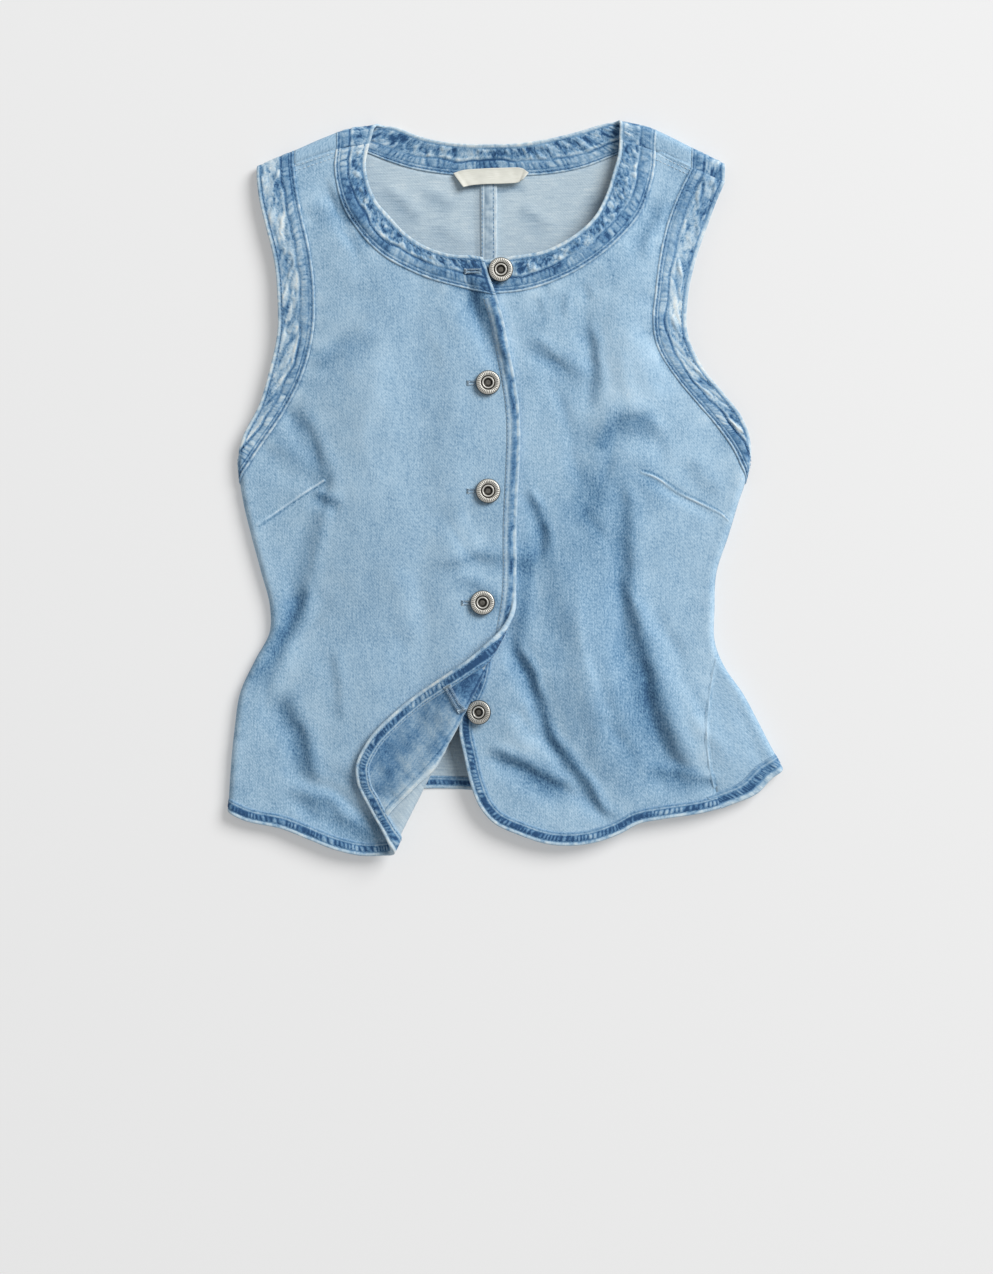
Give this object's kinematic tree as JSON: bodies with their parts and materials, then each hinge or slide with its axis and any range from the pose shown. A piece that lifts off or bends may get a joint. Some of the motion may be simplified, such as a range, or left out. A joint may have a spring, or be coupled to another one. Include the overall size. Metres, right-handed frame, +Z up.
{
  "type": "denim vest laid flat",
  "caption": "Cropped collarless denim vest with round neck band, armhole bands, bust darts and a buttoned front, laid flat with one lower corner folded back.",
  "frame": {"origin": "on the surface that the vest lies on, under the middle of its outline", "axes": "+X towards the wearer's left side, +Y from hem to neck, +Z up from the surface through the back and then the fronts"},
  "size_m": [0.4005, 0.5294, 0.0352],
  "materials": {
    "denim": "light blue washed cotton twill, pale on the inside",
    "denim_band": "washed cotton twill, darker and mottled over the seam layers, worn pale at the edges",
    "denim_facing": "washed cotton twill, mottled and puckered",
    "label_tape": "woven cream satin tape, blank",
    "button_metal": "antique pale metal with darkened recesses"
  },
  "bodies": {
    "root": {"front_right": "denim", "front_left": "denim", "back_right": "denim", "back_left": "denim", "neckband_front_right": "denim_band", "neckband_front_left": "denim_band", "neckband_back": "denim_band", "armband_front_right": "denim_band", "armband_back_right": "denim_band", "armband_front_left": "denim_band", "armband_back_left": "denim_band", "facing_right": "denim_facing", "neck_label": "label_tape", "button_1": "button_metal", "button_2": "button_metal", "button_3": "button_metal", "button_4": "button_metal", "button_5": "button_metal"}
  },
  "joints": []
}
